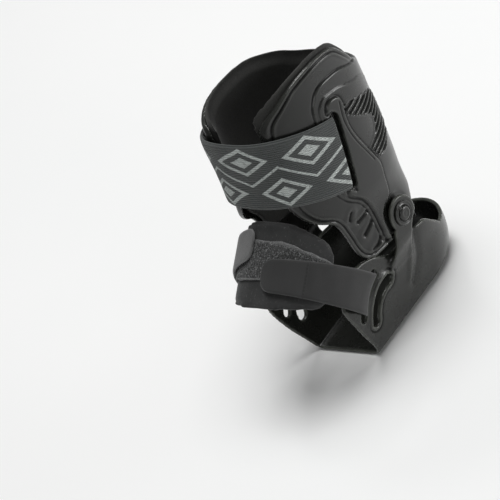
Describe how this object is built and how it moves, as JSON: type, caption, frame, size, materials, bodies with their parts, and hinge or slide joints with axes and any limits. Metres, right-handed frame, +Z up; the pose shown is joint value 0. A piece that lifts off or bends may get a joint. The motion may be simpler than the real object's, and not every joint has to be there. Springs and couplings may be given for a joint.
{
  "type": "ankle brace",
  "caption": "Hinged ankle brace: rigid heel cup, leg cuff turning on side rivets, foam liner, wide elastic leg strap, and straps from the heel cup that cross over a padded instep.",
  "frame": {"origin": "On the ground under the hinge axis, in the middle plane of the brace, on the flat underside of the sole.", "axes": "+X to the toes, +Y to the brace's left side (the near side in the picture), +Z up along the leg."},
  "size_m": [0.1604, 0.097, 0.2002],
  "materials": {
    "shell": "satin black moulded polymer, glossier on rounded edges",
    "liner": "closed-cell foam with a smooth dark skin",
    "pad": "knit-covered foam with stitched edges",
    "loop": "brushed loop pile",
    "strap": "matt hook-backed strap with welded edges",
    "elastic": "ribbed elastic webbing with a light grey printed pattern",
    "rivet": "black polymer, low gloss"
  },
  "bodies": {
    "foot": {"foot_shell": "shell", "left_hinge_ring": "rivet", "right_hinge_ring": "rivet", "left_rivet": "rivet", "right_rivet": "rivet", "instep_pad": "pad", "loop_band": "loop", "left_instep_strap": "strap", "right_instep_strap": "strap"},
    "cuff": {"cuff_shell": "shell", "cuff_liner": "liner", "leg_strap": "elastic"}
  },
  "joints": [
    {"name": "ankle_hinge", "type": "hinge", "parent": "foot", "child": "cuff", "pos_m": [0, 0, 0.067], "axis": [0, 1, 0], "range_deg": [-35, 4]}
  ]
}
